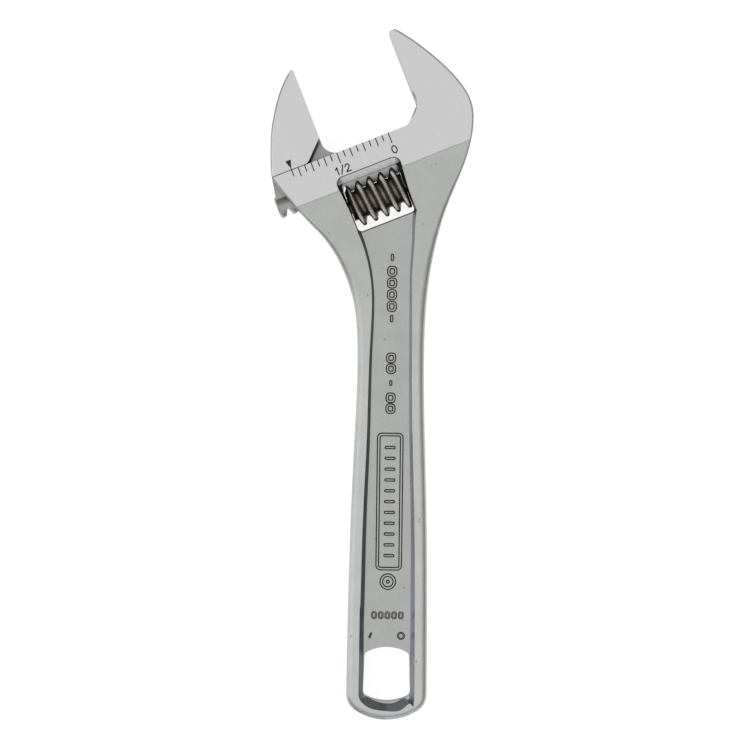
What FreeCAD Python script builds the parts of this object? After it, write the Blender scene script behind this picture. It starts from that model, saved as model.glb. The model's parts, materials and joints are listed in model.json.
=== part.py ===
# Adjustable wrench, 159 mm long, with a 22 degree head and a 15/16 inch (23.8 mm) jaw opening.
#
# Two sets of directions are used.  The handle's are x across it and y along it, from the hanging
# end to the head.  The head's are s along the jaw slide, towards the fixed jaw, and t square to
# the slide, towards the jaw tips.  The head's zero is where the slide crosses the handle's centre
# line.  Both share z through the thickness, which is 0 at mid thickness until the finished pieces
# are moved, so that the wrench lies on its back with its origin at the middle of its footprint.
import FreeCAD, Part
import math
import os

V = FreeCAD.Vector

# Overall sizes, in millimetres and degrees
HEAD_REACH = 136.0          # hanging end to the slide, along the handle's centre line
HEAD_ANGLE = 22.0
HEAD_THICKNESS = 10.4
HANDLE_THICKNESS = 8.0
END_WIDTH = 18.6
WAIST_WIDTH = 15.4
WAIST_REACH = 50.0          # slide down to the narrowest part of the handle

# Jaws
JAW_OPENING = 23.8125       # fully open, 15/16 inch
JAW_HEIGHT = 21.4           # the gripping faces' reach above the slide
FIXED_FACE = 7.25           # s of the fixed jaw's gripping face
JAW_FOOT = 13.45            # movable jaw, from gripping face to heel
THROAT = 3.7                # legs of the 45 degree corner between slide and fixed jaw
THROAT_RADIUS = 1.8
SLIDE_GAP = 0.18            # running gap under the movable jaw's foot
SCOOP_RADIUS = 6.45         # ball that scoops the edges at the fixed jaw's root
SCOOP_REACH = 4.4           # its middle, out from the gripping face and up from the flat
SCOOP_RISE = 1.75           # and above the throat
TIP_RADIUS = 0.4

# Forging
GROUND_DEPTH = 8.4          # ground band below the slide
SLOPE_DEPTH = 29.0          # where the head's thickness has come down to the handle's
HEAD_EDGE = 0.45            # edge radii
HANDLE_EDGE = 1.4
END_RADIUS = 13.4           # rounding of the hanging end and of its corners
CORNER_RADIUS = 4.3
RIM_WIDTH = 2.85            # raised rim round the handle's sunk panel
PANEL_DEPTH_LOW = 1.8       # panel depth at the hanging hole and at the window
PANEL_DEPTH_HIGH = 0.75
PANEL_DRAFT = 30.0
END_RIM = 2.1               # rim below the hanging hole
END_DRAFT = 1.45            # the wall there lies flatter, this many times the draft

# Hanging hole
HOLE_WIDTH = 10.9
HOLE_BOTTOM = 4.2
HOLE_HEIGHT = 12.6
HOLE_CORNER = 1.3

# Worm and rack
WORM_DIAMETER = 10.1
WORM_LENGTH = 13.6
THREAD_PITCH = 2.8
THREAD_DEPTH = 1.75
FLANK_ANGLE = 20.0
CREST_WIDTH = 0.72
WORM_DEPTH = 12.75          # worm axis below the slide
CREST_AT = -4.05            # s of a thread crest on the rack side, jaw fully open
MESH_GAP = 0.07             # each flank
TIP_GAP = 0.15              # thread crests and rack tips
RACK_DIAMETER = 6.0
RACK_DEPTH = 7.2            # rack bar's centre line below the slide
RACK_GAP = 0.08             # radial running gaps
WEB_THICKNESS = 4.0
WEB_TOE = 3.4               # web ahead of the movable jaw's face
WEB_RISE = 2.8
WEB_GAP = 0.08
SLOT_RELIEF = 0.4           # slot past the web's toe and above the throat

# Window, worm pin and spring
WINDOW_RIGHT = -1.96        # s of the window's end near the fixed jaw
END_PLAY = 0.17             # worm in its window, each end
WINDOW_CORNER = 1.0
WINDOW_TOP_GAP = 0.55       # window above the thread crests
WINDOW_BOTTOM_GAP = 1.15    # window below the thread crests
BEVEL_DEPTH = 1.5
BEVEL_TOP = 1.6
BEVEL_SIDE = 0.85
PIN_DIAMETER = 3.0
PIN_HEAD_DIAMETER = 4.0
PIN_HEAD_LENGTH = 3.4
PIN_SINK = 0.5              # head below the neck's surface
PIN_BLIND = 4.4             # pin past the window
PIN_FIT = 0.02
WORM_FIT = 0.06
SPRING_WIRE = 0.55
SPRING_TURNS = 2.5
SPRING_POCKET = 1.9         # depth in the worm's end
SPRING_FIT = 0.15           # spring over the pin, and in its pocket
SEAT_GAP = 0.03

# Engraved scale, with a pointer on the movable jaw
SCALE_STEP = 1.5875         # 1/16 inch
SCALE_STEPS = 15
POINTER_BACK = 8.65         # zero tick and pointer, each behind its own jaw's gripping face
TICK_WIDTH = 0.25
TICK_LONG = 2.55            # at 0 and 1/2 inch
TICK_EVEN = 2.1
TICK_ODD = 1.55
POINTER_HEIGHT = 2.2
POINTER_WIDTH = 1.2
MARK_DEPTH = 0.12
NUMERAL_TOP = -3.1
NUMERAL_HEIGHT = 2.0
NUMERAL_LINE = 0.3
ZERO_WIDTH = 1.4

COS = math.cos(math.radians(HEAD_ANGLE))
SIN = math.sin(math.radians(HEAD_ANGLE))
HALF_HEAD = HEAD_THICKNESS / 2
HALF_HANDLE = HANDLE_THICKNESS / 2
MOVABLE_FACE = FIXED_FACE - JAW_OPENING
HEEL = MOVABLE_FACE - JAW_FOOT
WORM_RADIUS = WORM_DIAMETER / 2
ROOT_RADIUS = WORM_RADIUS - THREAD_DEPTH
WINDOW_LEFT = WINDOW_RIGHT - WORM_LENGTH - 2 * END_PLAY
WINDOW_TOP = -WORM_DEPTH + WORM_RADIUS + WINDOW_TOP_GAP
WINDOW_BOTTOM = -WORM_DEPTH - WORM_RADIUS - WINDOW_BOTTOM_GAP
WORM_LEFT = WINDOW_LEFT + END_PLAY
PIN_MOUTH = HEEL + 0.36 * WORM_DEPTH    # the neck slopes in from the heel down to the pin
PIN_END = WINDOW_RIGHT + PIN_BLIND
RACK_LEFT = HEEL - 1.5
RACK_RIGHT = WINDOW_RIGHT


def handle(x, y, z=0.0):
    """A point given in the handle's directions, with y counted from the slide."""
    return V(x, HEAD_REACH + y, z)


def head(s, t, z=0.0):
    """A point given in the head's directions."""
    return handle(s * COS - t * SIN, s * SIN + t * COS, z)


def line(a, b):
    return Part.makeLine(a, b)


def arc(a, through, b):
    return Part.Arc(a, through, b).toShape()


def spline(points, start=None, end=None):
    curve = Part.BSplineCurve()
    if start is None:
        curve.interpolate(Points=points)
    else:
        curve.interpolate(Points=points, InitialTangent=start, FinalTangent=end)
    return curve.toShape()


def prism(edges, low, high):
    """Closed outline, drawn at z = 0, carried from z = low to z = high."""
    face = Part.Face(Part.Wire(edges))
    face.translate(V(0, 0, low))
    return face.extrude(V(0, 0, high - low))


def in_head(shape):
    """Turn a shape drawn with X, Y, Z = s, t, z into its place in the wrench."""
    placed = shape.copy()
    placed.rotate(V(0, 0, 0), V(0, 0, 1), HEAD_ANGLE)
    placed.translate(V(0, HEAD_REACH, 0))
    return placed


def both_sides(shape):
    return [shape, shape.mirror(V(0, 0, 0), V(0, 0, 1))]


def between(a, b, shares):
    """Points between a and b, each given as its share of the way across and of the way along."""
    return [V(a.x + across * (b.x - a.x), a.y + along * (b.y - a.y), 0) for across, along in shares]


# ---- wrench body ----

def end_corner():
    """Centre of the hanging end's corner radius, inside the end radius and the handle's side."""
    x = END_WIDTH / 2 - CORNER_RADIUS
    y = END_RADIUS - math.sqrt((END_RADIUS - CORNER_RADIUS) ** 2 - x ** 2)
    return x, y


def handle_side(sign, inset=0.0):
    """Points up one side of the handle, from the end's corner to the waist."""
    swell = [(1.0, 1.0), (0.75, 0.91), (0.5, 0.69), (0.25, 0.25), (0.0, 0.0)]
    low = end_corner()[1] - HEAD_REACH
    half = WAIST_WIDTH / 2
    extra = END_WIDTH / 2 - half
    reach = low + WAIST_REACH
    return [handle(sign * (half + extra * wide - inset), -WAIST_REACH + reach * far) for far, wide in swell]


def end_edges():
    """The rounded hanging end, as arcs from its left side round to its right side."""
    x, y = end_corner()
    angle = math.atan2(y - END_RADIUS, x)
    touch = (END_RADIUS * math.cos(angle), END_RADIUS + END_RADIUS * math.sin(angle))
    mid = (x + CORNER_RADIUS * math.cos(angle / 2), y + CORNER_RADIUS * math.sin(angle / 2))
    right = [V(*touch, 0), V(*mid, 0), V(END_WIDTH / 2, y, 0)]
    left = [V(-p.x, p.y, 0) for p in reversed(right)]
    return [arc(*left), arc(left[2], V(0, 0, 0), right[0]), arc(*right)]


def right_edge():
    """Right side of the handle, the neck, and the fixed jaw's back up to its tip."""
    nose = FIXED_FACE + 11.9
    back = [head(nose - 2.2, -6.7), head(nose, 0.0), head(nose - 0.85, 5.1), head(nose - 4.6, 13.4)]
    tip = head(FIXED_FACE + 1.9, JAW_HEIGHT)
    side = handle_side(1)
    neck = between(side[-1], back[0], [(0.058, 0.261), (0.259, 0.511), (0.499, 0.677), (0.767, 0.816)])
    points = side + neck + back + [tip]
    return spline(points, V(0, 1, 0), head(-0.66, 0.75) - head(0, 0)), tip


def fixed_jaw_edges(start):
    """Tip, gripping face, throat and slide, as far as the slide's left corner."""
    top = JAW_HEIGHT + TIP_RADIUS
    leg = THROAT_RADIUS * math.tan(math.radians(22.5))
    foot = FIXED_FACE - THROAT
    bend = (foot - leg + THROAT_RADIUS * math.sin(math.radians(22.5)),
            THROAT_RADIUS * (1 - math.cos(math.radians(22.5))))
    round_in = TIP_RADIUS * (1 - math.sqrt(0.5))
    p = [start, head(FIXED_FACE + 1.45, top - 0.12), head(FIXED_FACE + 0.95, top),
         head(FIXED_FACE + TIP_RADIUS, top), head(FIXED_FACE + round_in, top - round_in),
         head(FIXED_FACE, JAW_HEIGHT), head(FIXED_FACE, THROAT),
         head(foot + leg * math.sqrt(0.5), leg * math.sqrt(0.5)), head(*bend), head(foot - leg, 0),
         head(HEEL + TIP_RADIUS, 0)]
    return [arc(p[0], p[1], p[2]), line(p[2], p[3]), arc(p[3], p[4], p[5]), line(p[5], p[6]),
            line(p[6], p[7]), arc(p[7], p[8], p[9]), line(p[9], p[10])], p[10]


def left_edge(start):
    """Slide corner, head's left flank, neck and left side of the handle."""
    round_in = TIP_RADIUS * (1 - math.sqrt(0.5))
    corner = head(HEEL, -TIP_RADIUS)
    flank = head(HEEL + 2.6, -GROUND_DEPTH)
    side = handle_side(-1)[::-1]
    neck = between(flank, side[0],
                   [(0.183, 0.089), (0.355, 0.167), (0.581, 0.296), (0.78, 0.468), (0.911, 0.64)])
    points = [corner, flank] + neck + side
    return [arc(start, head(HEEL + round_in, -round_in), corner),
            spline(points, head(0.25, -1) - head(0, 0), V(0, -1, 0))]


def thickness_edges():
    """Side view of the forging: flat head, an easy slope, flat handle; drawn with Y = t."""
    slope = (HALF_HEAD - HALF_HANDLE) / (SLOPE_DEPTH - GROUND_DEPTH)
    edges = []
    for side in (1, -1):
        tops = []
        for t, z, above, below, reach in ((-GROUND_DEPTH, HALF_HEAD, 0.0, slope, 0.8),
                                          (-SLOPE_DEPTH, HALF_HANDLE, slope, 0.0, 5.0)):
            a = V(0, t + reach, side * (z + above * reach))
            b = V(0, t - reach, side * (z - below * reach))
            mid = V(0, t, side * z) * 0.5 + (a + b) * 0.25
            tops.append((a, mid, b))
        start = V(0, JAW_HEIGHT * 2, side * HALF_HEAD)
        finish = V(0, -HEAD_REACH * 1.5, side * HALF_HANDLE)
        edges += [line(start, tops[0][0]), arc(*tops[0]), line(tops[0][2], tops[1][0]), arc(*tops[1]),
                  line(tops[1][2], finish)]
    edges.append(line(V(0, JAW_HEIGHT * 2, HALF_HEAD), V(0, JAW_HEIGHT * 2, -HALF_HEAD)))
    edges.append(line(V(0, -HEAD_REACH * 1.5, HALF_HANDLE), V(0, -HEAD_REACH * 1.5, -HALF_HANDLE)))
    return edges


def along_slide(edges, start, end):
    """Closed outline drawn in the t-z plane, carried from s = start to s = end."""
    face = Part.Face(Part.Wire(Part.__sortEdges__(edges)))
    face.translate(V(start, 0, 0))
    return face.extrude(V(end - start, 0, 0))


def forging():
    """The solid forging, before any of its edges are rounded."""
    right, tip = right_edge()
    jaw, corner = fixed_jaw_edges(tip)
    edges = end_edges() + [right] + jaw + left_edge(corner)
    slab = in_head(along_slide(thickness_edges(), -HEAD_REACH, HEAD_REACH))
    return prism(edges, -HEAD_THICKNESS, HEAD_THICKNESS).common(slab)


def depth_of(edge):
    """How far the middle of an edge lies above the slide, in the head's directions."""
    at = edge.valueAt((edge.FirstParameter + edge.LastParameter) / 2)
    return (at.y - HEAD_REACH) * COS - at.x * SIN


def edge_radius(edge):
    """Radius for an edge of the forging, or None where it stays crisp or blends by itself."""
    t = depth_of(edge)
    if edge.Curve.TypeId.endswith("Line"):
        return None
    if t < -SLOPE_DEPTH:
        return HANDLE_EDGE
    if t < -GROUND_DEPTH - 2 or edge.Curve.TypeId.endswith("Circle"):
        return None
    return HEAD_EDGE


def rounded(shape, radius_of):
    """Round edges; where a run of edges carries two radii, one blends into the other."""
    document = FreeCAD.newDocument()
    base = document.addObject("Part::Feature", "base")
    base.Shape = shape
    result = document.addObject("Part::Fillet", "result")
    result.Base = base
    chosen = [(number + 1, radius_of(edge)) for number, edge in enumerate(shape.Edges)]
    result.Edges = [(number, radius, radius) for number, radius in chosen if radius]
    document.recompute()
    finished = result.Shape.copy()
    FreeCAD.closeDocument(document.Name)
    return finished


def panel_wire(grow, z):
    """Outline of the handle's sunk panel, grown outwards, at height z."""
    low = END_RIM - HEAD_REACH - END_DRAFT * grow
    inset = RIM_WIDTH - grow
    left = handle_side(-1, inset)
    right = handle_side(1, inset)
    corner_x = END_WIDTH / 2 - inset
    drop = left[0].y - HEAD_REACH - low - 0.8
    turn = [(corner_x - 0.65, low + 0.8 + 0.3 * drop), (corner_x - 2.3, low + 0.8)]
    bottom = [left[0]] + [handle(-x, y) for x, y in turn] + [handle(0, low)] \
        + [handle(x, y) for x, y in reversed(turn)] + [right[0]]
    left_top = [handle(-4.65 - grow, -36.0), handle(-5.35 - grow, -31.0), handle(-6.65 - grow, -26.2),
                head(WINDOW_LEFT - grow, WINDOW_BOTTOM)]
    right_top = [handle(4.75 + grow, -40.0), handle(4.75 + grow, -31.0), handle(5.05 + grow, -25.0),
                 head(WINDOW_RIGHT + grow, WINDOW_BOTTOM)]
    inner_left = head(WINDOW_LEFT + 1.0, -WORM_DEPTH)
    inner_right = head(WINDOW_RIGHT - 1.0, -WORM_DEPTH)
    edges = [spline(bottom, V(0, -1, 0), V(0, 1, 0)),
             spline(right + right_top, V(0, 1, 0), V(0.2, 1, 0)),
             line(right_top[-1], inner_right), line(inner_right, inner_left), line(inner_left, left_top[-1]),
             spline((left + left_top)[::-1], V(0.4, -1, 0), V(0, -1, 0))]
    wire = Part.Wire(edges)
    wire.translate(V(0, 0, z))
    return wire


def panel():
    """Cutter for the sunk panel on the upper side: drafted walls down to a gently sloping floor."""
    draft = math.tan(math.radians(PANEL_DRAFT))
    low, high = HALF_HANDLE - 2 * PANEL_DEPTH_LOW, HALF_HEAD + 1
    walls = Part.makeLoft([panel_wire((z - HALF_HANDLE) * draft, z) for z in (low, high)], True, True)
    hole_top = HOLE_BOTTOM + HOLE_HEIGHT
    window_y = HEAD_REACH + WINDOW_BOTTOM
    rise = (PANEL_DEPTH_LOW - PANEL_DEPTH_HIGH) / (window_y - hole_top)
    floor = [V(0, y, HALF_HANDLE - PANEL_DEPTH_LOW + rise * (y - hole_top)) for y in (-10, HEAD_REACH)]
    above = [V(0, p.y, 2 * HEAD_THICKNESS) for p in reversed(floor)]
    space = Part.Face(Part.makePolygon(floor + above + floor[:1]))
    space.translate(V(-HEAD_REACH / 2, 0, 0))
    return walls.common(space.extrude(V(HEAD_REACH, 0, 0)))


def hanging_hole():
    half = HOLE_WIDTH / 2
    top = HOLE_BOTTOM + HOLE_HEIGHT
    corners = [V(-half, HOLE_BOTTOM + 1.5, 0), V(half, HOLE_BOTTOM + 1.5, 0), V(half - 0.3, top - 1.5, 0),
               V(-half + 0.3, top - 1.5, 0)]
    edges = [arc(corners[0], V(0, HOLE_BOTTOM, 0), corners[1]), line(corners[1], corners[2]),
             arc(corners[2], V(0, top, 0), corners[3]), line(corners[3], corners[0])]
    hole = prism(edges, -HEAD_THICKNESS, HEAD_THICKNESS)
    upright = [edge for edge in hole.Edges if abs(edge.tangentAt(edge.FirstParameter).z) > 0.9]
    return hole.makeFillet(HOLE_CORNER, upright)


def window_wire(left, right, top, radius, z):
    """Window outline with two rounded upper corners, in the head's directions."""
    back = radius * (1 - math.sqrt(0.5))
    bottom = WINDOW_BOTTOM
    p = [V(WINDOW_LEFT, bottom, z), V(WINDOW_RIGHT, bottom, z), V(right, top - radius, z),
         V(right - back, top - back, z), V(right - radius, top, z), V(left + radius, top, z),
         V(left + back, top - back, z), V(left, top - radius, z)]
    return Part.Wire([line(p[0], p[1]), line(p[1], p[2]), arc(p[2], p[3], p[4]), line(p[4], p[5]),
                      arc(p[5], p[6], p[7]), line(p[7], p[0])])


def window():
    """The worm's window, through the head, and the bevels round its top and sides."""
    tall = WINDOW_TOP - WINDOW_BOTTOM
    opening = Part.makeBox(WINDOW_RIGHT - WINDOW_LEFT, tall, 2 * HEAD_THICKNESS,
                           V(WINDOW_LEFT, WINDOW_BOTTOM, -HEAD_THICKNESS))
    upright = [edge for edge in opening.Edges if abs(edge.tangentAt(edge.FirstParameter).z) > 0.9]
    opening = opening.makeFillet(WINDOW_CORNER, upright)
    wires = []
    for depth in (BEVEL_DEPTH, -1.0):
        grow = 1 - depth / BEVEL_DEPTH
        wires.append(window_wire(WINDOW_LEFT - BEVEL_SIDE * grow, WINDOW_RIGHT + BEVEL_SIDE * grow,
                                 WINDOW_TOP + BEVEL_TOP * grow, WINDOW_CORNER * (1 + 0.8 * grow),
                                 HALF_HEAD - depth))
    return [opening] + both_sides(Part.makeLoft(wires, True, True))


def slideway():
    """Round bore for the rack bar, right through the head, and the web's slot above it."""
    bore_radius = RACK_DIAMETER / 2 + RACK_GAP
    bore = Part.makeCylinder(bore_radius, 4 * JAW_FOOT + JAW_OPENING, V(HEEL - JAW_FOOT, -RACK_DEPTH, 0),
                             V(1, 0, 0))
    half = WEB_THICKNESS / 2 + WEB_GAP
    end = FIXED_FACE + WEB_TOE + SLOT_RELIEF
    top = THROAT + SLOT_RELIEF
    outline = [V(HEEL - 5, -RACK_DEPTH, 0), V(end, -RACK_DEPTH, 0), V(end, SLOT_RELIEF, 0),
               V(FIXED_FACE + SLOT_RELIEF, top, 0), V(HEEL - 5, top, 0)]
    slot = prism(Part.makePolygon(outline + outline[:1]).Edges, -half, half)
    return [bore, slot]


def face_reliefs():
    """Long shallow scoops in the edges at the root of the fixed jaw's gripping face."""
    middle = V(FIXED_FACE - SCOOP_REACH, THROAT + SCOOP_RISE, HALF_HEAD + SCOOP_REACH)
    return both_sides(Part.makeSphere(SCOOP_RADIUS, middle))


def engraved(points):
    """Straight-sided mark cut into the upper face of the head."""
    face = Part.Face(Part.makePolygon(points + points[:1]))
    face.translate(V(0, 0, HALF_HEAD - MARK_DEPTH))
    return face.extrude(V(0, 0, 2 * MARK_DEPTH))


def stroke(points, width):
    """Engraved line through the points, with round ends and corners."""
    pieces = []
    for a, b in zip(points, points[1:]):
        out = (b - a).normalize().cross(V(0, 0, width / 2))
        pieces.append(engraved([a + out, b + out, b - out, a - out]))
    for p in points:
        pieces.append(Part.makeCylinder(width / 2, 2 * MARK_DEPTH, p + V(0, 0, HALF_HEAD - MARK_DEPTH)))
    return pieces


def tick(number):
    """One line of the scale, cut in from the slide's edge."""
    length = TICK_LONG if number % 8 == 0 else TICK_ODD if number % 2 else TICK_EVEN
    s = FIXED_FACE - POINTER_BACK - number * SCALE_STEP
    half = TICK_WIDTH / 2
    return engraved([V(s - half, -length, 0), V(s + half, -length, 0), V(s + half, 1, 0), V(s - half, 1, 0)])


def zero(s):
    """The numeral 0, centred on s."""
    middle = V(s, NUMERAL_TOP - NUMERAL_HEIGHT / 2, 0)
    rings = []
    for inset in (0, NUMERAL_LINE):
        tall = V(middle.x, middle.y + NUMERAL_HEIGHT / 2 - inset, 0)
        wide = V(middle.x + ZERO_WIDTH / 2 - inset, middle.y, 0)
        ring = Part.Face(Part.Wire(Part.Ellipse(tall, wide, middle).toShape()))
        ring.translate(V(0, 0, HALF_HEAD - MARK_DEPTH))
        rings.append(ring.extrude(V(0, 0, 2 * MARK_DEPTH)))
    return rings[0].cut(rings[1])


def half_inch(s):
    """The fraction 1/2, centred on s."""
    inset = NUMERAL_LINE / 2
    top, foot = NUMERAL_TOP - inset, NUMERAL_TOP - NUMERAL_HEIGHT + inset
    tall = top - foot
    one = [(-1.7, top - 0.25 * tall), (-1.3, top), (-1.3, foot)]
    slash = [(-0.6, foot - 0.1), (0.2, top + 0.1)]
    two = [(0.62, top - 0.27 * tall), (0.78, top - 0.07 * tall), (1.15, top), (1.5, top - 0.08 * tall),
           (1.62, top - 0.29 * tall), (1.45, top - 0.5 * tall), (0.6, foot), (1.72, foot)]
    lines = [[V(s + x, y, 0) for x, y in points] for points in (one, slash, two)]
    return [piece for points in lines for piece in stroke(points, NUMERAL_LINE)]


def scale():
    """Cutters for the scale on the upper side of the head."""
    start = FIXED_FACE - POINTER_BACK
    ticks = [tick(number) for number in range(SCALE_STEPS + 1)]
    return ticks + [zero(start)] + half_inch(start - 8 * SCALE_STEP)


def pin_hole():
    shank = Part.makeCylinder(PIN_DIAMETER / 2 + PIN_FIT, PIN_END - PIN_MOUTH + 6,
                              V(PIN_MOUTH - 5, -WORM_DEPTH, 0), V(1, 0, 0))
    seat = Part.makeCylinder(PIN_HEAD_DIAMETER / 2 + PIN_FIT, PIN_SINK + PIN_HEAD_LENGTH + 5,
                             V(PIN_MOUTH - 5, -WORM_DEPTH, 0), V(1, 0, 0))
    return [shank, seat]


def make_body():
    shape = rounded(forging(), edge_radius)
    cuts = window() + slideway() + pin_hole() + face_reliefs() + scale()
    return shape.cut([in_head(cut) for cut in cuts] + both_sides(panel()) + [hanging_hole()])


# ---- movable jaw ----

def jaw_upper():
    """The part of the movable jaw above the slide, at the head's full thickness."""
    face = MOVABLE_FACE
    foot = -5.2
    back = [V(face - 1.0, JAW_HEIGHT - 0.05, 0), V(face - 3.1, JAW_HEIGHT - 1.9, 0), V(face - 4.7, 17.8, 0),
            V(face - 7.5, 14.0, 0), V(face - 9.9, 9.9, 0), V(face - 11.9, 5.2, 0), V(HEEL + 0.15, 1.2, 0),
            V(HEEL - 0.1, SLIDE_GAP, 0)]
    under = V(face + foot, SLIDE_GAP, 0)
    turn = V(face + foot + 1.0, SLIDE_GAP + 0.45, 0)
    nose = V(face, THROAT + 1.05, 0)
    top = V(face, JAW_HEIGHT, 0)
    edges = [spline(back), line(back[-1], under),
             arc(under, V(face + foot + 0.55, SLIDE_GAP + 0.14, 0), turn),
             line(turn, nose), line(nose, top), arc(top, V(face - 0.3, JAW_HEIGHT + 0.18, 0), back[0])]
    upper = prism(edges, -HALF_HEAD, HALF_HEAD)

    def radius_of(edge):
        middle = edge.valueAt((edge.FirstParameter + edge.LastParameter) / 2)
        outer = middle.x < face - 0.1 and middle.y > 0.6 + SLIDE_GAP
        along_face = abs(middle.z) > HALF_HEAD - 0.01 and edge.Curve.TypeId.endswith("BSplineCurve")
        return HEAD_EDGE if outer and along_face else None

    return rounded(upper, radius_of), turn, nose


def draft_wedge(turn, nose):
    """Drafted wall between the full thickness and the web, along the jaw's lower corner."""
    along = (nose - turn).normalize()
    out = V(along.y, -along.x, 0)
    half = WEB_THICKNESS / 2
    reach = 0.62
    section = []
    for side in (1, -1):
        section += [turn + V(0, 0, side * HALF_HEAD), turn + out * reach + V(0, 0, side * half)][::side]
    face = Part.Face(Part.makePolygon(section + section[:1]))
    face.translate(along * -6)
    block = face.extrude(along * 20)
    keep = Part.makeBox(JAW_FOOT, JAW_HEIGHT, HEAD_THICKNESS, V(HEEL, SLIDE_GAP, -HALF_HEAD))
    return block.common(keep)


def jaw_web():
    """Thin web that joins the jaw to the rack bar through the slot."""
    face = MOVABLE_FACE
    toe = V(face + WEB_TOE, 0, 0)
    low = V(face + WEB_TOE, -RACK_DEPTH, 0)
    heel_top = V(HEEL + 0.4, 1.2, 0)
    left = [V(HEEL - 0.1, SLIDE_GAP, 0), V(HEEL - 0.5, -1.9, 0), V(HEEL - 0.95, -4.3, 0),
            V(HEEL - 1.35, -RACK_DEPTH, 0)]
    edges = [arc(V(face, WEB_RISE, 0), V(face + 0.85, 1.25, 0), toe), line(toe, low), line(low, left[-1]),
             spline(left[::-1]), line(left[0], heel_top), line(heel_top, V(face - 2, 4, 0)),
             line(V(face - 2, 4, 0), V(face, 4, 0)), line(V(face, 4, 0), V(face, WEB_RISE, 0))]
    half = WEB_THICKNESS / 2
    return prism(edges, -half, half)


def rack_bar():
    """Round bar for the rack, flat along the tips of its teeth."""
    radius = RACK_DIAMETER / 2
    length = RACK_RIGHT - RACK_LEFT
    bar = Part.makeCylinder(radius, length, V(RACK_LEFT, -RACK_DEPTH, 0), V(1, 0, 0))
    ends = [edge for edge in bar.Edges if edge.Curve.TypeId.endswith("Circle")]
    bar = bar.makeChamfer(0.35, ends)
    tips = -WORM_DEPTH + ROOT_RADIUS + TIP_GAP
    below = V(RACK_LEFT, tips - RACK_DIAMETER, -radius)
    return bar.cut(Part.makeBox(length, RACK_DIAMETER, RACK_DIAMETER, below))


def rack_gaps():
    """Cutters for the gaps between the rack's teeth, slanted to the worm's lead."""
    root = -WORM_DEPTH + WORM_RADIUS + TIP_GAP
    depth = THREAD_DEPTH + TIP_GAP
    slant = THREAD_PITCH / (2 * math.pi * (WORM_RADIUS - THREAD_DEPTH / 2))
    spread = math.tan(math.radians(FLANK_ANGLE))
    half_root = CREST_WIDTH / 2 + MESH_GAP
    half_mouth = half_root + depth * spread
    half = RACK_DIAMETER / 2 + 0.5
    gaps = []
    first = math.ceil((RACK_LEFT - half_mouth - CREST_AT) / THREAD_PITCH)
    last = math.floor((RACK_RIGHT + half_mouth - CREST_AT) / THREAD_PITCH)
    for number in range(first, last + 1):
        s = CREST_AT + number * THREAD_PITCH - slant * half
        p = [V(s - half_mouth, root - depth, -half), V(s - half_root, root - 0.25, -half), V(s, root, -half),
             V(s + half_root, root - 0.25, -half), V(s + half_mouth, root - depth, -half)]
        section = Part.Wire([line(p[0], p[1]), arc(p[1], p[2], p[3]), line(p[3], p[4]), line(p[4], p[0])])
        gaps.append(Part.Face(section).extrude(V(2 * slant * half, 0, 2 * half)))
    return gaps


def pointer():
    """Cutter for the pointer, which stands on the seam between jaw and scale."""
    s = MOVABLE_FACE - POINTER_BACK
    half = POINTER_WIDTH / 2
    point = TICK_WIDTH / 2
    top = SLIDE_GAP + POINTER_HEIGHT
    return engraved([V(s - half, top, 0), V(s - half, top - 0.35, 0), V(s - point, SLIDE_GAP + 0.5, 0),
                     V(s - point, -1, 0), V(s + point, -1, 0), V(s + point, SLIDE_GAP + 0.5, 0),
                     V(s + half, top - 0.35, 0), V(s + half, top, 0)])


def make_movable_jaw():
    upper, turn, nose = jaw_upper()
    jaw = upper.fuse([draft_wedge(turn, nose), jaw_web(), rack_bar()]).removeSplitter()
    return in_head(jaw.cut(rack_gaps() + [pointer()]))


# ---- worm, pin and spring ----

def thread():
    """Right-hand thread along +z, with a crest towards +x at z = 0."""
    spread = math.tan(math.radians(FLANK_ANGLE))
    sunk = 0.2
    half_crest = CREST_WIDTH / 2
    half_root = half_crest + (THREAD_DEPTH + sunk) * spread
    inner = ROOT_RADIUS - sunk
    soft = 0.25
    p = [V(inner, 0, -half_root), V(WORM_RADIUS - soft, 0, -half_crest - soft * spread), V(WORM_RADIUS, 0, 0),
         V(WORM_RADIUS - soft, 0, half_crest + soft * spread), V(inner, 0, half_root)]
    section = Part.Wire([line(p[0], p[1]), arc(p[1], p[2], p[3]), line(p[3], p[4]), line(p[4], p[0])])
    turns = math.ceil(WORM_LENGTH / THREAD_PITCH) + 2
    path = Part.Wire(Part.makeHelix(THREAD_PITCH, turns * THREAD_PITCH, ROOT_RADIUS))
    return path.makePipeShell([section], True, True)


def make_worm():
    """Worm along s, its left end face at WORM_LEFT, bored for the pin and pocketed for the spring."""
    ridge = thread()
    back = math.ceil((CREST_AT - WORM_LEFT) / THREAD_PITCH + 0.5) * THREAD_PITCH
    ridge.translate(V(0, 0, CREST_AT - WORM_LEFT - back))
    blank = Part.makeCylinder(WORM_RADIUS + 1, WORM_LENGTH)
    worm = Part.makeCylinder(ROOT_RADIUS, WORM_LENGTH).fuse(ridge.common(blank))
    bore = Part.makeCylinder(PIN_DIAMETER / 2 + WORM_FIT, WORM_LENGTH)
    pocket = Part.makeCylinder(spring_radius() + SPRING_WIRE / 2 + SPRING_FIT, SPRING_POCKET)
    worm = worm.cut([bore, pocket])
    return lay_along_slide(worm, WORM_LEFT)


def lay_along_slide(shape, start):
    """Turn a piece made along +z, with +x towards the rack, onto the worm's axis from s = start."""
    turned = shape.copy()
    matrix = FreeCAD.Matrix(0, 0, 1, start, 1, 0, 0, -WORM_DEPTH, 0, 1, 0, 0, 0, 0, 0, 1)
    return in_head(turned.transformGeometry(matrix))


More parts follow.
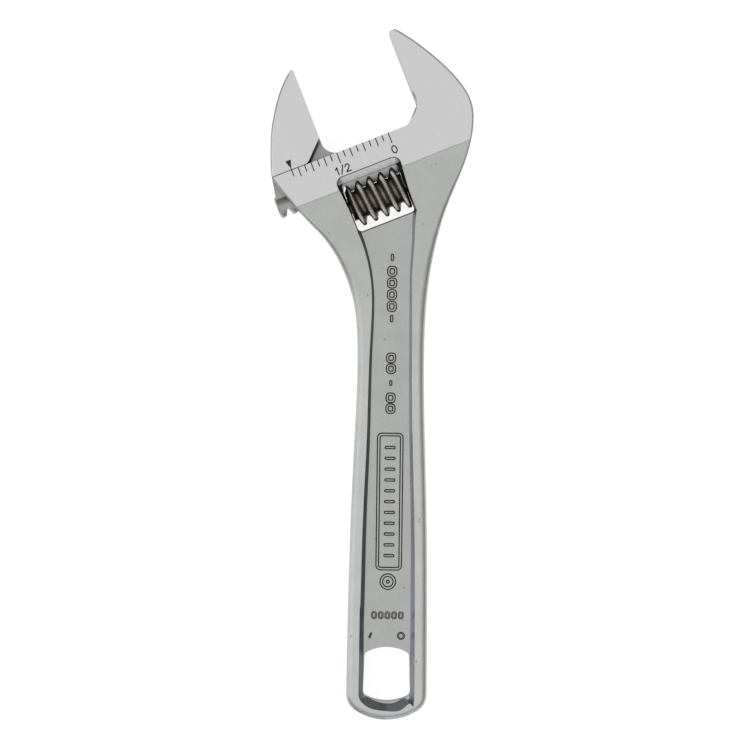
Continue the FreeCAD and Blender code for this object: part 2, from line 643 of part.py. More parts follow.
def make_pin():
    """Slotted pin screw, from the neck's left side through the worm into the head."""
    start = PIN_MOUTH + PIN_SINK
    pin = Part.makeCylinder(PIN_DIAMETER / 2, PIN_END - start)
    tip = [edge for edge in pin.Edges if edge.BoundBox.ZMin > PIN_END - start - 0.01]
    pin = pin.makeChamfer(0.4, tip)
    knob = Part.makeCylinder(PIN_HEAD_DIAMETER / 2, PIN_HEAD_LENGTH)
    slot = Part.makeBox(PIN_HEAD_DIAMETER, 0.8, 1.0, V(-PIN_HEAD_DIAMETER / 2, -0.4, 0))
    return lay_along_slide(pin.fuse(knob).cut(slot).removeSplitter(), start)


def spring_radius():
    return PIN_DIAMETER / 2 + SPRING_FIT + SPRING_WIRE / 2


def make_spring():
    """Small coil spring on the pin, in the worm's left end, that takes up the end play."""
    room = END_PLAY + SPRING_POCKET - 2 * SEAT_GAP
    rise = room - SPRING_WIRE
    path = Part.Wire(Part.makeHelix(rise / SPRING_TURNS, rise, spring_radius()))
    wire = Part.Wire(Part.makeCircle(SPRING_WIRE / 2, V(spring_radius(), 0, 0), V(0, 1, 0)))
    coil = path.makePipeShell([wire], True, True)
    coil.translate(V(0, 0, SPRING_WIRE / 2))
    return lay_along_slide(coil, WINDOW_LEFT + SEAT_GAP)


PIECES = {
    "body": make_body,
    "movable_jaw": make_movable_jaw,
    "adjusting_worm": make_worm,
    "worm_pin": make_pin,
    "pin_spring": make_spring,
}

os.makedirs("parts", exist_ok=True)
shapes = {name: make() for name, make in PIECES.items()}
box = FreeCAD.BoundBox()
for shape in shapes.values():
    box.add(shape.optimalBoundingBox(False))
for name, shape in shapes.items():
    shape.translate(V(-box.Center.x, -box.Center.y, -box.ZMin))
    shape.exportStep("parts/" + name + ".step")
    print(name, "solids", len(shape.Solids), "valid", shape.isValid(), "volume %.1f" % shape.Volume)
print("size %.3f x %.3f x %.3f mm" % (box.XLength, box.YLength, box.ZLength))
print("shift %.4f %.4f %.4f" % (-box.Center.x, -box.Center.y, -box.ZMin))
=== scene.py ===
import json
import math

import bmesh
import bpy
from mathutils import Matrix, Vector


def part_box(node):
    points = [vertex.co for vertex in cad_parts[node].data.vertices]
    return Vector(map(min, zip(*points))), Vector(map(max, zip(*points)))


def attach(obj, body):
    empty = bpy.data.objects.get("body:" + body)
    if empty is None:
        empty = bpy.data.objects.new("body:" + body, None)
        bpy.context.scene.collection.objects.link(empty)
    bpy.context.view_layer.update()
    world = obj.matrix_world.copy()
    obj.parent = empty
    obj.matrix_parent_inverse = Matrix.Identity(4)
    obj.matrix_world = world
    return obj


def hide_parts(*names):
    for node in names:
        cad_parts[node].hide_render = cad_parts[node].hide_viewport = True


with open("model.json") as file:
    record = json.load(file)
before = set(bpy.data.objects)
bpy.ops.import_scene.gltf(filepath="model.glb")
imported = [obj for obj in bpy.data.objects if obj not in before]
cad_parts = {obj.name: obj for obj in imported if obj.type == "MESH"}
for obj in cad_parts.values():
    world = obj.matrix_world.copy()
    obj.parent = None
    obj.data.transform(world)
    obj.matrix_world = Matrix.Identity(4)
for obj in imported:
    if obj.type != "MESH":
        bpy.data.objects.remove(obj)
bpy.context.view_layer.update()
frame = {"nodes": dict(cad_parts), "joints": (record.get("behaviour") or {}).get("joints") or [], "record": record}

# ---- Forged body ----
# One drop forging in chrome vanadium steel: handle, leaning head and fixed jaw. It is satin plated all
# over, then both faces of the head are ground flat and brushed, and the inch scale is cut in.

MM = 0.001
UP = Vector((0, 0, 1))
record = frame["record"]
joints = {joint["name"]: joint for joint in frame["joints"]}
mounts = {mount["name"]: mount for mount in record["mounts"]}

along = Vector(joints["jaw_slide"]["axis"])
square = UP.cross(along)
FACE_AT = 7.25 * MM       # fixed jaw's gripping face, from the middle of the slide
FACE_MIDDLE = 12.5 * MM   # the face mount's height above the slide
slide_middle = Vector(mounts["fixed_jaw_face"]["pos_m"]) - along * FACE_AT - square * FACE_MIDDLE
hang_hole = Vector(mounts["hang_hole"]["pos_m"])
end_of_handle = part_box("body")[0].y
head_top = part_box("body")[1].z
middle_height = slide_middle.z


class Tone:
    """One socket of a finish. Sums with it are laid as Math nodes."""

    def __init__(self, finish, socket):
        self.finish = finish
        self.socket = socket

    def maths(self, operation, *others):
        return self.finish.node("ShaderNodeMath", {"operation": operation}, enumerate((self,) + others))

    def __add__(self, other):
        return self.maths("ADD", other)

    __radd__ = __add__

    def __sub__(self, other):
        return self.maths("SUBTRACT", other)

    def __rsub__(self, other):
        return self.finish.node("ShaderNodeMath", {"operation": "SUBTRACT"}, {0: other, 1: self})

    def __mul__(self, other):
        return self.maths("MULTIPLY", other)

    __rmul__ = __mul__

    def __abs__(self):
        return self.maths("ABSOLUTE")

    def rising(self, low, high):
        """0 below low, 1 above high, smooth between."""
        return self.finish.node("ShaderNodeMapRange", {"interpolation_type": "SMOOTHSTEP"},
                                {0: self, 1: low, 2: high})

    def within(self, low, high, soft):
        """1 between low and high, falling to 0 over soft outside them."""
        return self.rising(low - soft, low) * (1 - self.rising(high, high + soft))


class Finish:
    """The node tree of a finish, written as expressions."""

    def __init__(self, owner):
        owner.use_nodes = True
        self.owner = owner
        self.tree = owner.node_tree
        self.tree.nodes.clear()

    def node(self, kind, settings=(), inputs=(), out=0):
        """Any node: its type, its settings, the values or links of its sockets, and the output wanted."""
        made = self.tree.nodes.new(kind)
        for name, value in dict(settings).items():
            if name == "stops":
                ramp = made.color_ramp
                while len(ramp.elements) < len(value):
                    ramp.elements.new(0.5)
                for element, (position, grey) in zip(ramp.elements, value):
                    element.position = position
                    element.color = (grey, grey, grey, 1)
            else:
                setattr(made, name, value)
        for name, value in dict(inputs).items():
            if isinstance(value, Tone):
                self.tree.links.new(value.socket, made.inputs[name])
            else:
                made.inputs[name].default_value = value
        return Tone(self, made.outputs[out])

    def blend(self, share, first, second):
        """Colour mix from first to second as share goes from 0 to 1."""
        return self.node("ShaderNodeMix", {"data_type": "RGBA"}, {0: share, 6: first, 7: second}, out=2)

    def steel(self, colour, roughness, normal, metallic=1.0):
        """Ends the finish in a metal shader."""
        inputs = {"Base Color": colour, "Roughness": roughness, "Normal": normal, "Metallic": metallic}
        shader = self.node("ShaderNodeBsdfPrincipled", (), inputs, out="BSDF")
        self.node_output("ShaderNodeOutputMaterial", shader)
        return self.owner

    def node_output(self, kind, shader):
        made = self.tree.nodes.new(kind)
        self.tree.links.new(shader.socket, made.inputs["Surface"])


def grey(level):
    return (level, level, level, 1)


def place_in_mm(finish):
    """Place on the piece in millimetres, as a vector."""
    at = finish.node("ShaderNodeTexCoord", out="Object")
    return finish.node("ShaderNodeVectorMath", {"operation": "SCALE"}, {0: at, "Scale": 1 / MM})


def reach(finish, place, direction, start):
    """Distance in millimetres from the point start, along direction."""
    dot = finish.node("ShaderNodeVectorMath", {"operation": "DOT_PRODUCT"},
                      {0: place, 1: tuple(direction)}, out="Value")
    return dot - start.dot(direction) / MM


def facing_up(finish):
    """How squarely the surface faces up or down, 0 to 1."""
    normal = finish.node("ShaderNodeTexCoord", out="Normal")
    return abs(finish.node("ShaderNodeVectorMath", {"operation": "DOT_PRODUCT"},
                           {0: normal, 1: (0, 0, 1)}, out="Value"))


def noise(finish, place, size, detail=2.0, rough=0.5):
    """Grain of the given size in millimetres, about 0.5 on average."""
    return finish.node("ShaderNodeTexNoise", (), {"Vector": place, "Scale": 1 / size, "Detail": detail,
                                                  "Roughness": rough})


def stretched(finish, s, t, z, wide, long):
    """Brush lines that run across the slide: fine over wide, drawn out over long."""
    spans = {0: s * (1 / wide), 1: t * (1 / long), 2: z * (1 / wide)}
    vector = finish.node("ShaderNodeCombineXYZ", (), spans)
    return finish.node("ShaderNodeTexNoise", (), {"Vector": vector, "Scale": 1.0, "Detail": 3.0,
                                                  "Roughness": 0.6})


def off_box(s, t, ends, heights, corner):
    """Distance outside a rounded box in the head's directions, negative within its corner radius."""
    over = []
    for place, (low, high) in ((s, ends), (t, heights)):
        past_corner = abs(place - (low + high) / 2) - ((high - low) / 2 - corner)
        over.append(past_corner.maths("MAXIMUM", 0.0))
    return (over[0] * over[0] + over[1] * over[1]).maths("SQRT") - corner


def bumped(finish, height, depth, strength=1.0, under=None):
    """Normal of a surface whose height runs 0 to 1 over depth in millimetres."""
    inputs = {"Height": height, "Distance": depth * MM, "Strength": strength}
    if under is not None:
        inputs["Normal"] = under
    return finish.node("ShaderNodeBump", (), inputs)


def forged_skin(finish, place):
    """Satin plating over a forged skin: fine grain, slow clouding and a few small pits."""
    clouds = noise(finish, place, 5.0, 3.0)
    grain = noise(finish, place, 0.35, 4.0, 0.65)
    cells = finish.node("ShaderNodeTexVoronoi", (), {"Vector": place, "Scale": 0.42, "Randomness": 1.0})
    rare = noise(finish, place, 6.0, 1.0).rising(0.5, 0.62)
    pits = (1 - cells.rising(0.05, 0.12)) * rare
    shade = (0.86 + 0.16 * clouds + 0.32 * (grain - 0.5)) * (1 - 0.45 * pits)
    roughness = 0.36 + 0.12 * grain + 0.2 * pits
    normal = bumped(finish, grain * 0.5 + clouds * 0.3 - pits * 0.6, 0.035, 0.55)
    return shade, roughness, normal


def tinted(finish, shade, colour):
    """A colour darkened by a shade."""
    plain = finish.node("ShaderNodeCombineXYZ", (), {0: shade, 1: shade, 2: shade})
    return finish.node("ShaderNodeVectorMath", {"operation": "MULTIPLY"}, {0: plain, 1: colour[:3]})


def brushed_face(finish, s, t, z):
    """Ground and brushed steel: shade, roughness and the height of its lines."""
    fine = stretched(finish, s, t, z, 0.16, 7.0)
    broad = stretched(finish, s, t, z, 0.9, 26.0)
    lines = fine * 0.65 + broad * 0.35
    return 0.9 + 0.2 * lines, 0.24 + 0.14 * lines, lines


SATIN = (0.475, 0.484, 0.466)
GROUND = (0.555, 0.560, 0.556)
# painted light and shade: the panel's left wall is painted dark as shade, its right wall lighter and bluer as a
# painted reflection
SHADED_LEFT_WALL = (0.250, 0.270, 0.300)
LIT_RIGHT_WALL = (0.46, 0.49, 0.56)
# painted light and shade: the window bevel's sides are painted near black as shade, its top face near white as
# painted light
SHADED_BEVEL = (0.05, 0.052, 0.055)
LIT_TOP_BEVEL = (0.92, 0.93, 0.93)
ENGRAVED = (0.008, 0.008, 0.009)
RIM_PAINTED_LIGHT = 0.16           # painted light: how much lighter the handle's rims are painted towards its end
PANEL_HALF = 5.75         # half of the sunk panel's width over its walls, at the waist
PANEL_LOW_SPREAD = 1.75   # and how much more at the hanging end and at the neck
PANEL_HIGH_SPREAD = 2.6
PANEL_TOP = 116.5         # up the handle from its end
HOLE_TOP = 17.5
GROUND_EDGE = -8.4        # where the ground band ends, below the slide
SCALE_REACH = -5.45       # lowest engraving, below the slide
WINDOW_ENDS = (-15.9, -1.96)       # the worm's window and the bevel round it, along the slide
WINDOW_HEIGHTS = (-18.95, -7.15)   # and square to it
WINDOW_CORNER = 1.0
BEVEL_ENDS = (-16.75, -1.11)
BEVEL_TOP = -5.55
BEVEL_CORNER = 1.8


def body_finish():
    finish = Finish(bpy.data.materials.new("satin_and_ground_steel"))
    place = place_in_mm(finish)
    s = reach(finish, place, along, slide_middle)
    t = reach(finish, place, square, slide_middle)
    z = reach(finish, place, UP, slide_middle)
    across = reach(finish, place, Vector((1, 0, 0)), hang_hole)
    up_handle = reach(finish, place, Vector((0, 1, 0)), Vector((0, end_of_handle, 0)))
    flat = facing_up(finish)
    half_head = (head_top - middle_height) / MM

    wander = noise(finish, place, 1.6, 2.0)
    edge = GROUND_EDGE + 0.35 * (wander - 0.5)
    on_top = abs(z).rising(half_head - 0.9, half_head - 0.7)
    ground = (t - edge).rising(-0.06, 0.10) * on_top * flat.rising(0.9, 0.97)
    # painted shade: a dark line along the crease where the ground band ends
    crease_shadow = (1 - abs(t - edge).rising(0.05, 0.24)) * on_top * flat.rising(0.9, 0.97)

    in_window = s.within(BEVEL_ENDS[0] - 0.05, BEVEL_ENDS[1] + 0.05, 0.03) \
        * t.within(WINDOW_HEIGHTS[0] - 0.1, BEVEL_TOP + 0.05, 0.03)
    bevelled = in_window * (1 - flat.rising(0.97, 0.99))
    lit_top_bevel_mask = bevelled * t.rising(-7.3, -7.1) * flat.rising(0.4, 0.6)
    from_window = off_box(s, t, WINDOW_ENDS, WINDOW_HEIGHTS, WINDOW_CORNER)
    from_bevel = off_box(s, t, BEVEL_ENDS, (WINDOW_HEIGHTS[0], BEVEL_TOP), BEVEL_CORNER)
    # painted shadow: thin near-black lines along the window's edge and the bevel's outer edge
    window_rim_shadow = (1 - from_window.rising(0.24, 0.36)) * (1 - t.rising(-9.6, -8.8)) * flat.rising(0.8, 0.9)
    bevel_rim_shadow = (1 - abs(from_bevel + 0.06).rising(0.06, 0.18)) * t.rising(-8.8, -8.0)

    half_panel = PANEL_HALF + PANEL_LOW_SPREAD * (1 - up_handle.rising(18.0, 78.0)) \
        + PANEL_HIGH_SPREAD * up_handle.rising(96.0, 116.0)
    in_panel = (half_panel - abs(across)).rising(-0.1, 0.1)
    below_head = 1 - up_handle.rising(PANEL_TOP, PANEL_TOP + 0.5)
    panel_wall = (1 - flat.rising(0.55, 0.9)) * in_panel * below_head * (1 - in_window)
    # painted shade: the sunk panel's floor is painted slightly darker than the rims
    shaded_panel_bed = flat.rising(0.9, 0.97) * (1 - abs(z).rising(3.3, 3.45))
    # painted shade: the hanging hole's wall is painted dark grey
    hole_wall_shadow = (1 - flat.rising(0.1, 0.4)) * (1 - up_handle.rising(HOLE_TOP, HOLE_TOP + 0.5)) * in_panel

    sunk = z.within(half_head - 0.22, half_head - 0.07, 0.02) * flat.rising(0.93, 0.99) \
        * t.within(SCALE_REACH, 0.2, 0.02)

    skin_shade, skin_rough, skin_normal = forged_skin(finish, place)
    line_shade, line_rough, lines = brushed_face(finish, s, t, z)
    # painted light: the skin outside the panel is painted lighter towards the handle's end, where the lamps light
    # it more
    lit_rim_shade = skin_shade * (1 + RIM_PAINTED_LIGHT * (1 - up_handle.rising(70.0, 115.0)))
    colour = finish.blend(ground, tinted(finish, lit_rim_shade, SATIN), tinted(finish, line_shade, GROUND))
    # painted shade in the crease
    colour = finish.blend(crease_shadow * 0.35, colour, grey(0.16))
    # painted shade on the panel's floor
    colour = finish.blend(shaded_panel_bed, colour, tinted(finish, skin_shade * 0.95, SATIN))
    # painted light and shade on the panel's walls: dark on the left, a bluish painted reflection on the right
    painted_wall_light = finish.blend(across.rising(-0.5, 0.5), SHADED_LEFT_WALL + (1,), LIT_RIGHT_WALL + (1,))
    colour = finish.blend(panel_wall, colour, painted_wall_light)
    # painted shade on the hanging hole's wall
    colour = finish.blend(hole_wall_shadow, colour, grey(0.16))
    # painted shade on the bevel's sides, then painted light on its top face
    colour = finish.blend(bevelled, colour, tinted(finish, skin_shade, SHADED_BEVEL))
    colour = finish.blend(lit_top_bevel_mask, colour, tinted(finish, skin_shade, LIT_TOP_BEVEL))
    # painted shadow lines at the window's edge and the bevel's edge
    colour = finish.blend(window_rim_shadow * 0.85, colour, grey(0.03))
    colour = finish.blend(bevel_rim_shadow * 0.8, colour, grey(0.03))
    colour = finish.blend(sunk, colour, ENGRAVED + (1,))
    rough = skin_rough * (1 - ground) + line_rough * ground + 0.15 * sunk
    normal = bumped(finish, lines * ground, 0.006, 0.5, skin_normal)
    return finish.steel(colour, rough, normal, 1 - 0.7 * sunk)


def dress(node, material):
    """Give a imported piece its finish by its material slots."""
    piece = frame["nodes"][node]
    piece.data.materials.clear()
    piece.data.materials.append(material)


dress("body", body_finish())

# ---- Raised marks in the handle's panel ----
# Plain marks forged in relief in the sunk panel: bars, open squares, a ribbed frame and rings. Their
# tops carry the body's satin plating with the panel floor's slight painted shade, and their steep
# sides are painted near black as shade.

RELIEF = 0.26 * MM
SIDE_SLOPE = 0.34 * MM
SINK = 0.06 * MM          # how far a mark's foot goes below the panel's floor
CORNER_STEPS = 6

forging = frame["nodes"]["body"]


def panel_floor(x, y):
    """Height of the body's upper surface."""
    hit, where, _, _ = forging.ray_cast(Vector((x, y, 1)), Vector((0, 0, -1)))
    return where.z


def on_handle(x, y):
    """Place on the body from millimetres across the handle and up from its end."""
    return hang_hole.x + x * MM, end_of_handle + y * MM


def rounded_box(x, y, wide, tall, radius, lean=0.0):
    """Outline of a rounded rectangle about x, y, leaning by lean across its height."""
    points = []
    for corner, (side, end) in enumerate(((1, 1), (-1, 1), (-1, -1), (1, -1))):
        for step in range(CORNER_STEPS + 1):
            angle = math.radians(90 * corner + 90 * step / CORNER_STEPS)
            px = side * (wide / 2 - radius) + radius * math.cos(angle)
            py = end * (tall / 2 - radius) + radius * math.sin(angle)
            points.append((x + px + lean * py / tall, y + py))
    return points


def circle(x, y, radius, steps=48):
    return [(x + radius * math.cos(math.tau * n / steps), y + radius * math.sin(math.tau * n / steps))
            for n in range(steps)]


def grown(points, amount):
    """Outline moved outwards along its own normals."""
    moved = []
    for before, here, after in zip(points[-1:] + points[:-1], points, points[1:] + points[:1]):
        dx, dy = after[0] - before[0], after[1] - before[1]
        length = math.hypot(dx, dy) or 1.0
        moved.append((here[0] + amount * dy / length, here[1] - amount * dx / length))
    return moved


def ring_of(mesh, points, rise):
    """Vertices over an outline, set on the panel's floor."""
    made = []
    for point in points:
        x, y = on_handle(*point)
        made.append(mesh.verts.new((x, y, panel_floor(x, y) + rise)))
    return made


def join(mesh, first, second):
    for n in range(len(first)):
        after = (n + 1) % len(first)
        mesh.faces.new((first[n], first[after], second[after], second[n]))


def pad(mesh, outline):
    """Solid mark: sloping sides and a flat top."""
    foot = ring_of(mesh, outline, -SINK)
    top = ring_of(mesh, grown(outline, -SIDE_SLOPE / MM), RELIEF)
    join(mesh, foot, top)
    mesh.faces.new(top)
    mesh.faces.new(foot[::-1])


def band(mesh, middle, width):
    """Open mark: a raised line that follows a closed outline."""
    slope = SIDE_SLOPE / MM
    half = width / 2
    profile = ((half, -SINK), (half - slope, RELIEF), (slope - half, RELIEF), (-half, -SINK))
    loops = [ring_of(mesh, grown(middle, amount), rise) for amount, rise in profile]
    for first, second in zip(loops, loops[1:] + loops[:1]):
        join(mesh, first, second)


def finished(name, mesh, material, body, sharp=35):
    """Turn a worked mesh into a piece of the wrench."""
    bmesh.ops.recalc_face_normals(mesh, faces=mesh.faces)
    data = bpy.data.meshes.new(name)
    mesh.to_mesh(data)
    mesh.free()
    data.polygons.foreach_set("use_smooth", [True] * len(data.polygons))
    data.set_sharp_from_angle(angle=math.radians(sharp))
    data.materials.append(material)
    piece = bpy.data.objects.new(name, data)
    bpy.context.scene.collection.objects.link(piece)
    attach(piece, body)
    return piece


MARK_SIDE_SHADE = (0.03, 0.03, 0.031)


def relief_finish():
    finish = Finish(bpy.data.materials.new("satin_steel_relief"))
    place = place_in_mm(finish)
    shade, rough, normal = forged_skin(finish, place)
    # painted shade: the marks' steep sides are painted near black, their tops slightly dimmed like the panel's
    # floor
    side = 1 - facing_up(finish).rising(0.86, 0.97)
    colour = finish.blend(side, tinted(finish, shade * 0.95, SATIN), tinted(finish, shade, MARK_SIDE_SHADE))
    return finish.steel(colour, rough + 0.1 * side, normal)


relief = relief_finish()

upper_row = bmesh.new()
for y in (106.8, 92.7):
    pad(upper_row, rounded_box(0.1, y, 0.95, 1.9, 0.45))
for y in (103.6, 100.9, 98.2, 95.5):
    band(upper_row, rounded_box(0.1, y, 1.55, 1.75, 0.5), 0.95)
finished("raised_upper_row", upper_row, relief, "wrench_body")

middle_row = bmesh.new()
for y in (83.6, 81.1, 74.4, 71.9):
    band(middle_row, rounded_box(0.1, y, 1.55, 1.65, 0.5), 0.95)
pad(middle_row, rounded_box(0.1, 77.8, 0.9, 1.5, 0.44))
finished("raised_middle_row", middle_row, relief, "wrench_body")

frame_band = bmesh.new()
band(frame_band, rounded_box(0.15, 50.4, 5.3, 31.0, 0.7), 1.0)
finished("raised_frame", frame_band, relief, "wrench_body")

ribs = bmesh.new()
for n in range(11):
    pad(ribs, rounded_box(0.15, 37.9 + 2.5 * n, 2.7, 0.92, 0.44))
finished("raised_ribs", ribs, relief, "wrench_body")

rings = bmesh.new()
band(rings, circle(0, 31.9, 1.5), 1.0)
pad(rings, circle(0, 31.9, 0.55, 24))
finished("raised_ring", rings, relief, "wrench_body")

lower_row = bmesh.new()
for n in range(5):
    band(lower_row, rounded_box(-3.1 + 1.55 * n, 24.1, 0.85, 1.35, 0.32), 0.6)
pad(lower_row, rounded_box(-3.9, 19.4, 0.7, 1.5, 0.34, 0.5))
band(lower_row, circle(3.2, 19.4, 0.7, 32), 0.62)
finished("raised_lower_row", lower_row, relief, "wrench_body")

# ---- Movable jaw ----
# A second forging: the jaw and its rack bar are one piece. It slides in the head's bore, and its flat
# faces are ground and brushed together with the head's.


def jaw_finish():
    finish = Finish(bpy.data.materials.new("ground_jaw_steel"))
    place = place_in_mm(finish)
    s = reach(finish, place, along, slide_middle)
    t = reach(finish, place, square, slide_middle)
    z = reach(finish, place, UP, slide_middle)
    flat = facing_up(finish)
    half_head = (head_top - middle_height) / MM
    ground = abs(z).rising(half_head - 0.9, half_head - 0.7) * flat.rising(0.9, 0.97)
    low = 1 - abs(z).rising(2.9, 3.2)
    # painted shadow: the step face between the jaw and its thinner web is painted near black
    jaw_step_shadow = (1 - flat.rising(0.6, 0.9)) * t.within(0.0, 5.0, 0.05) * (1 - low) \
        * s.within(-23.5, -16.85, 0.05)
    sunk = z.within(half_head - 0.22, half_head - 0.07, 0.02) * flat.rising(0.93, 0.99) \
        * t.within(0.0, 2.5, 0.02)
    skin_shade, skin_rough, skin_normal = forged_skin(finish, place)
    line_shade, line_rough, lines = brushed_face(finish, s, t, z)
    # painted shade: the rack bar and web, down in the head's slot, are painted darker than the jaw
    rack_painted_shade = tinted(finish, skin_shade, (0.36, 0.36, 0.35))
    colour = finish.blend(ground, tinted(finish, skin_shade, (0.42, 0.43, 0.42)),
                          tinted(finish, line_shade, GROUND))
    # painted shade on the rack bar
    colour = finish.blend(low, colour, rack_painted_shade)
    # painted shadow on the jaw's step face
    colour = finish.blend(jaw_step_shadow, colour, grey(0.02))
    colour = finish.blend(sunk, colour, ENGRAVED + (1,))
    rough = skin_rough * (1 - ground) + line_rough * ground + 0.15 * sunk
    normal = bumped(finish, lines * ground, 0.006, 0.5, skin_normal)
    return finish.steel(colour, rough, normal, 1 - 0.7 * sunk)


dress("movable_jaw", jaw_finish())

# ---- Adjusting worm ----
# Turned from dark, oil-quenched steel with a single right-hand thread. The thread's crest is rolled
# with fine serrations for the thumb, and rubs bright on the rack; it turns on the pin screw.

WORM_LENGTH = 13.6 * MM
CREST_RADIUS = 5.05 * MM
ROOT_RADIUS = 3.3 * MM
PITCH = 2.8 * MM
CREST_AT = -4.05 * MM     # a crest on the rack's side, along the slide from its middle
BORE_RADIUS = 1.56 * MM
BORE_SIDES = 48
WORM_FLANK = (0.27, 0.245, 0.215)
WORM_CREST = (0.60, 0.565, 0.52)
WORM_ROOT = (0.24, 0.195, 0.155)
SERRATIONS = 72           # in one turn
SERRATION_DEPTH = 0.20 * MM
LEAD_IN = 1.3             # slope of the turned-down first thread
STEPS = 6                 # mesh columns in each serration
worm_middle = Vector(joints["worm_spin"]["pos_m"])

# half of the thread's section: distance from the crest's middle, and radius, in millimetres
HALF_SECTION = ((1.40, 3.30), (1.12, 3.30), (0.99, 3.37), (0.90, 3.58), (0.68, 4.18), (0.50, 4.67),
                (0.42, 4.86), (0.30, 4.97), (0.14, 5.04))


def worm_point(s, radius, angle):
    """Point at distance s along the worm from the middle of the slide."""
    across = square * math.cos(angle) + UP * math.sin(angle)
    start = worm_middle + along * (s - (worm_middle - slide_middle).dot(along))
    return start + across * radius


def worm_mesh():
    mesh = bmesh.new()
    section = [(-a * MM, r * MM) for a, r in HALF_SECTION] + [(0.0, CREST_RADIUS)]
    section += [(a * MM, r * MM) for a, r in HALF_SECTION[:0:-1]]
    columns = SERRATIONS * STEPS
    centre = (worm_middle - slide_middle).dot(along)
    left, right = centre - WORM_LENGTH / 2, centre + WORM_LENGTH / 2
    back = math.ceil((CREST_AT - left) / PITCH) + 1
    turns = math.ceil(WORM_LENGTH / PITCH) + 3
    rows = []
    for column in range(turns * columns + 1):
        turn = column / columns
        notch = (0.5 - 0.5 * math.cos(math.tau * column / STEPS)) ** 1.5
        ring = []
        for a, radius in section:
            cut = SERRATION_DEPTH * notch * max(0.0, min(1.0, (radius / MM - 4.6) / 0.3))
            s = CREST_AT + (turn - back) * PITCH + a
            lead = ROOT_RADIUS + 0.4 * MM + LEAD_IN * max(0.0, s - left)
            ring.append(mesh.verts.new(worm_point(s, min(radius - cut, lead), math.tau * turn)))
        rows.append(ring)
    for column in range(turns * columns):
        here, after = rows[column], rows[column + 1]
        turn_on = rows[column + columns:column + columns + 2]
        for n in range(len(section)):
            if n + 1 < len(section):
                mesh.faces.new((here[n], after[n], after[n + 1], here[n + 1]))
            elif len(turn_on) == 2:
                mesh.faces.new((here[n], after[n], turn_on[1][0], turn_on[0][0]))
    for s, inwards in ((left, 1), (right, -1)):
        plane = slide_middle + along * s
        parts = mesh.verts[:] + mesh.edges[:] + mesh.faces[:]
        bmesh.ops.bisect_plane(mesh, geom=parts, plane_co=plane, plane_no=along * -inwards,
                               clear_outer=True, dist=1e-7)
    loose = [vert for vert in mesh.verts if not vert.link_faces]
    bmesh.ops.delete(mesh, geom=loose, context="VERTS")
    mouths = []
    for s, outwards in ((left, -1), (right, 1)):
        rim = [edge for edge in mesh.edges if edge.is_boundary
               and abs((edge.verts[0].co - slide_middle).dot(along) - s) < 1e-6
               and abs((edge.verts[1].co - slide_middle).dot(along) - s) < 1e-6]
        round_bore = [worm_point(s, BORE_RADIUS, math.tau * n / BORE_SIDES) for n in range(BORE_SIDES)]
        mouth = [mesh.verts.new(point) for point in round_bore]
        hole = [mesh.edges.new((mouth[n], mouth[(n + 1) % BORE_SIDES])) for n in range(BORE_SIDES)]
        bmesh.ops.triangle_fill(mesh, edges=rim + hole, use_beauty=True, normal=along * outwards)
        mouths.append(mouth)
    join(mesh, *mouths)
    return mesh


def worm_finish():
    finish = Finish(bpy.data.materials.new("dark_worm_steel"))
    place = place_in_mm(finish)
    t = reach(finish, place, square, worm_middle)
    z = reach(finish, place, UP, worm_middle)
    from_axis = (t * t + z * z).maths("SQRT")
    streaks = noise(finish, place, 0.5, 3.0)
    speckle = noise(finish, place, 0.14, 3.0, 0.7)
    worn = (from_axis + 0.25 * (streaks - 0.5)).rising(4.55, 4.95)
    deep = 1 - from_axis.rising(3.35, 3.9)
    shade = 0.62 + 0.45 * streaks + 0.6 * (speckle - 0.5)
    colour = finish.blend(worn, tinted(finish, shade, WORM_FLANK), tinted(finish, shade, WORM_CREST))
    colour = finish.blend(deep, colour, tinted(finish, shade, WORM_ROOT))
    rough = 0.42 - 0.14 * worn + 0.15 * (speckle - 0.5)
    normal = bumped(finish, speckle * 0.6 + streaks * 0.4, 0.02, 0.6)
    return finish.steel(colour, rough, normal)


worm = finished("serrated_worm", worm_mesh(), worm_finish(), "worm", 40)
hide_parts("adjusting_worm")

# ---- Pin screw and its spring ----
# The worm's axle is a slotted pin screw of blued steel, put in from the neck's left side. A short coil
# spring of drawn wire sits on it in the worm's end and takes up the play.

PIN_COLOUR = (0.16, 0.16, 0.17)
WIRE_COLOUR = (0.30, 0.30, 0.31)


def turned_finish(name, colour, ring_size):
    """Turned or drawn steel: fine rings round the slide's direction, with a little tarnish."""
    finish = Finish(bpy.data.materials.new(name))
    place = place_in_mm(finish)
    s = reach(finish, place, along, slide_middle)
    rings = {"W": s * (1 / ring_size), "Scale": 1.0}
    lines = finish.node("ShaderNodeTexNoise", {"noise_dimensions": "1D"}, rings)
    tarnish = noise(finish, place, 1.1, 3.0)
    shade = 0.75 + 0.3 * tarnish + 0.25 * (lines - 0.5)
    normal = bumped(finish, lines, 0.01, 0.5)
    return finish.steel(tinted(finish, shade, colour), 0.3 + 0.2 * tarnish, normal)


dress("worm_pin", turned_finish("blued_pin_steel", PIN_COLOUR, 0.08))
dress("pin_spring", turned_finish("spring_wire", WIRE_COLOUR, 0.12))

# ---- Bench and light ----
# The wrench lies on a plain pale bench. A wide soft box hangs over it, a narrow strip stands to its left
# and a low one beyond its hanging end, in a studio that darkens towards its floor.

bench_mesh = bmesh.new()
bmesh.ops.create_circle(bench_mesh, cap_ends=True, segments=96, radius=4.0)
bench_data = bpy.data.meshes.new("bench")
bench_mesh.to_mesh(bench_data)
bench_mesh.free()
bench = bpy.data.objects.new("bench", bench_data)
bench.location.z = -0.00002
bpy.context.scene.collection.objects.link(bench)

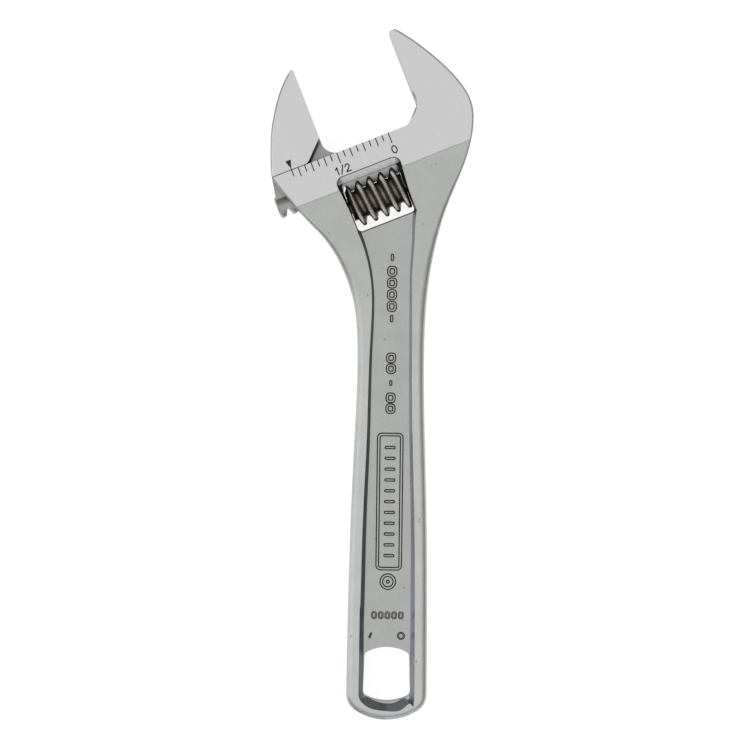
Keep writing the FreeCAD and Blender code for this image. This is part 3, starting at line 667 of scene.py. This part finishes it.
paper = Finish(bpy.data.materials.new("pale_paper"))
fibres = noise(paper, place_in_mm(paper), 1.5, 3.0)
paper_shader = paper.node("ShaderNodeBsdfPrincipled", (), {
    "Base Color": tinted(paper, 0.30 + 0.02 * fibres, (1, 1, 1)), "Roughness": 0.9,
    "Emission Color": (1, 1, 1, 1), "Emission Strength": 0.86}, out="BSDF")
paper.node_output("ShaderNodeOutputMaterial", paper_shader)
bench_data.materials.append(paper.owner)

studio = bpy.data.worlds.new("studio")
bpy.context.scene.world = studio
room = Finish(studio)
direction = room.node("ShaderNodeTexCoord", out="Generated")
height = room.node("ShaderNodeSeparateXYZ", (), {0: direction}, out=2)
sky_stops = ((0.0, 0.06), (0.25, 0.18), (0.55, 0.42), (0.8, 0.62), (1.0, 0.62))
level = room.node("ShaderNodeValToRGB", {"stops": sky_stops}, {0: height})
sky = room.node("ShaderNodeBackground", (), {"Color": level, "Strength": 1.0}, out=0)
room.node_output("ShaderNodeOutputWorld", sky)


def soft_box(name, place, aim, wide, tall, power, colour=(1, 1, 1)):
    lamp = bpy.data.lights.new(name, "AREA")
    lamp.shape = "RECTANGLE"
    lamp.size = wide
    lamp.size_y = tall
    lamp.energy = power
    lamp.color = colour
    made = bpy.data.objects.new(name, lamp)
    made.location = place
    made.rotation_mode = "QUATERNION"
    made.rotation_quaternion = (Vector(aim) - Vector(place)).to_track_quat("-Z", "Y")
    bpy.context.scene.collection.objects.link(made)


soft_box("overhead_box", (0.0, 0.0, 1.6), (0, 0, 0), 1.9, 1.9, 5.5)
soft_box("left_strip", (-1.3, -0.1, 0.75), (0, 0, 0), 0.35, 1.8, 4.0, (0.92, 0.96, 1.0))
soft_box("low_strip", (0.2, -1.5, 0.30), (0, 0, 0), 1.8, 0.45, 2.6)

CAMERA_HEIGHT = 0.9       # above the head's face
VIEW_WIDTH = 0.1728       # what the camera sees across at that face
SENSOR = 36.0
LEAN = 0.74               # degrees that the handle leans to the right
camera_data = bpy.data.cameras.new("camera")
camera_data.sensor_width = SENSOR
camera_data.lens = SENSOR * CAMERA_HEIGHT / VIEW_WIDTH
camera_data.clip_start = 0.01
camera = bpy.data.objects.new("camera", camera_data)
camera.location = (0.00139, -0.00007, head_top + CAMERA_HEIGHT)
camera.rotation_euler = (0, 0, math.radians(LEAN))
bpy.context.scene.collection.objects.link(camera)
bpy.context.scene.camera = camera
bpy.context.scene.view_settings.view_transform = "Standard"
